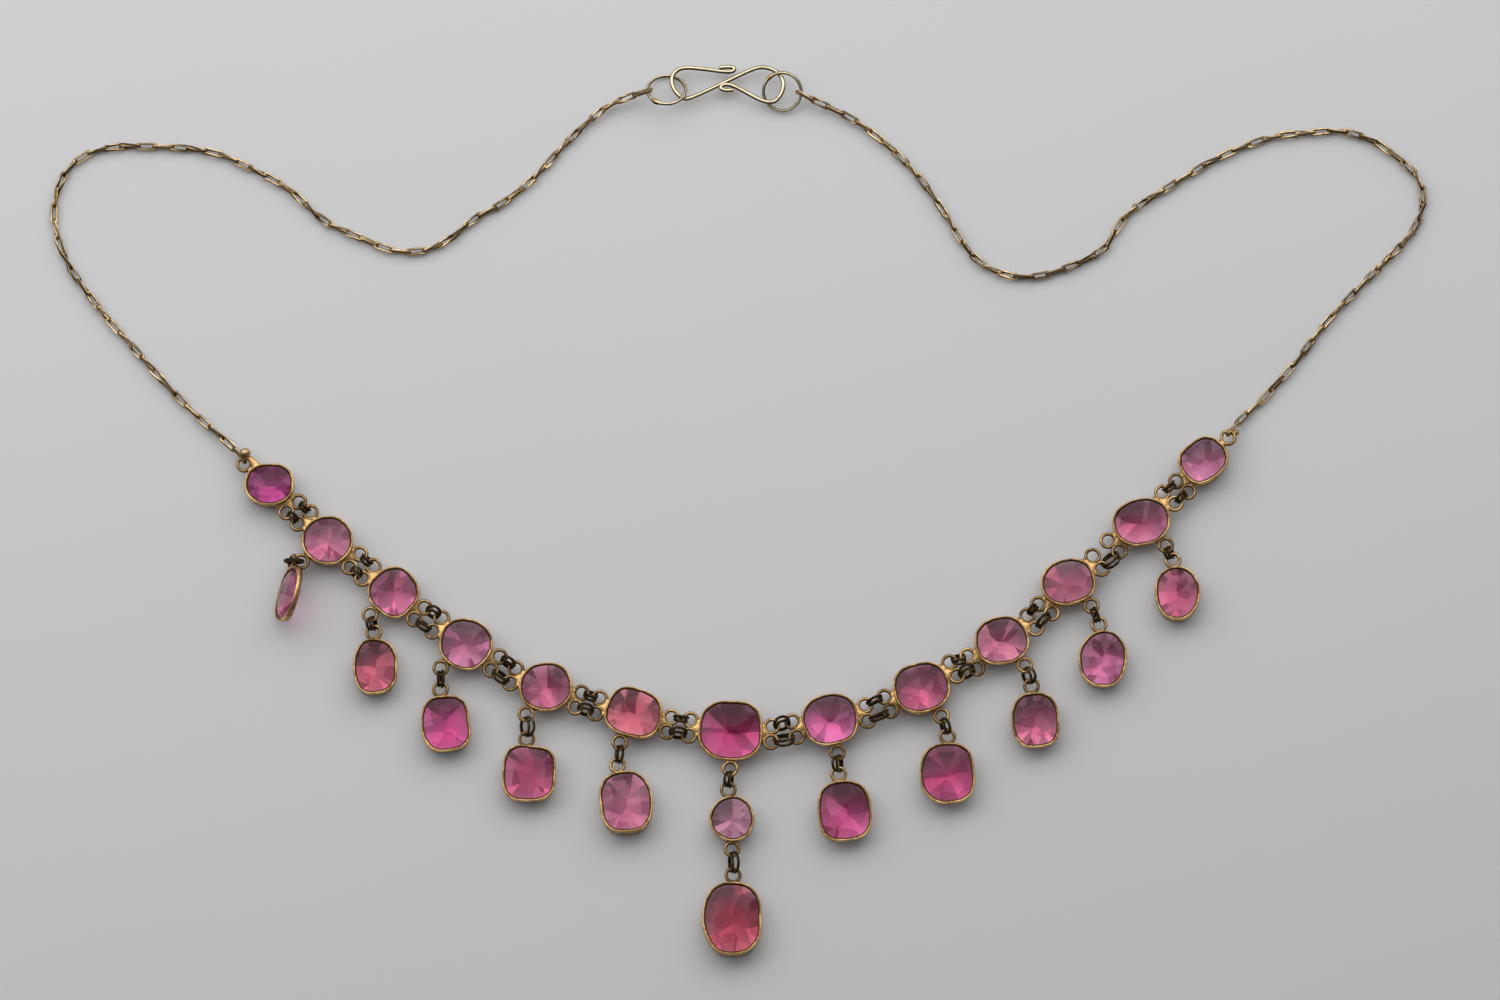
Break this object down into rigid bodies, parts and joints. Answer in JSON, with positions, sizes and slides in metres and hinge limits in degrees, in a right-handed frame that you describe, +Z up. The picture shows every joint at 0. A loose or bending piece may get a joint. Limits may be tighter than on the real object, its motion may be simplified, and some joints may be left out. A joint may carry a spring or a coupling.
{
  "type": "fringe necklace",
  "caption": "Fringe necklace: a row of faceted pink stones in open gold settings with a lower tier of stone drops on jump rings, a fine link chain and an S hook clasp.",
  "frame": {"origin": "middle of the necklace as it lies, on the surface it rests on", "axes": "+X towards the right end of the row of stones, +Y from the stones towards the clasp, +Z up from the surface, towards the tables of the stones"},
  "size_m": [0.166, 0.1088, 0.0057],
  "materials": {
    "stone_magenta": "faceted and polished, clear, with a few natural inclusions",
    "stone_rose": "faceted and polished, clear, with a few natural inclusions",
    "stone_mauve": "faceted and polished, clear, with a few natural inclusions",
    "stone_coral": "faceted and polished, clear, with a few natural inclusions",
    "stone_violet": "faceted and polished, clear, with a few natural inclusions",
    "stone_deep_rose": "faceted and polished, clear, with a few natural inclusions",
    "setting_gold": "worn yellow gold, polished on the rims, with orange solder and brown tarnish in the recesses",
    "ring_gold": "dark tarnished gold wire",
    "chain_gold": "pale worn gold wire with darker recesses",
    "clasp_gold": "bright worn gold wire"
  },
  "bodies": {
    "root": {"stone_1": "stone_magenta", "stone_2": "stone_rose", "stone_3": "stone_rose", "stone_4": "stone_mauve", "stone_5": "stone_magenta", "stone_6": "stone_coral", "stone_7": "stone_magenta", "stone_8": "stone_violet", "stone_9": "stone_deep_rose", "stone_10": "stone_rose", "stone_11": "stone_rose", "stone_12": "stone_rose", "stone_13": "stone_violet", "setting_1": "setting_gold", "setting_2": "setting_gold", "setting_3": "setting_gold", "setting_4": "setting_gold", "setting_5": "setting_gold", "setting_6": "setting_gold", "setting_7": "setting_gold", "setting_8": "setting_gold", "setting_9": "setting_gold", "setting_10": "setting_gold", "setting_11": "setting_gold", "setting_12": "setting_gold", "setting_13": "setting_gold", "drop_stone_1": "stone_mauve", "drop_stone_2": "stone_coral", "drop_stone_3": "stone_magenta", "drop_stone_4": "stone_deep_rose", "drop_stone_5": "stone_mauve", "drop_stone_6": "stone_coral", "drop_stone_7": "stone_deep_rose", "drop_stone_8": "stone_magenta", "drop_stone_9": "stone_rose", "drop_stone_10": "stone_violet", "drop_stone_11": "stone_rose", "drop_setting_1": "setting_gold", "drop_setting_2": "setting_gold", "drop_setting_3": "setting_gold", "drop_setting_4": "setting_gold", "drop_setting_5": "setting_gold", "drop_setting_6": "setting_gold", "drop_setting_7": "setting_gold", "drop_setting_8": "setting_gold", "drop_setting_9": "setting_gold", "drop_setting_10": "setting_gold", "drop_setting_11": "setting_gold", "round_stone": "stone_mauve", "round_setting": "setting_gold", "row_rings": "ring_gold", "drop_rings": "ring_gold", "chain_left": "chain_gold", "chain_right": "chain_gold", "hook": "clasp_gold", "eye_left": "clasp_gold", "eye_right": "clasp_gold"}
  },
  "joints": []
}
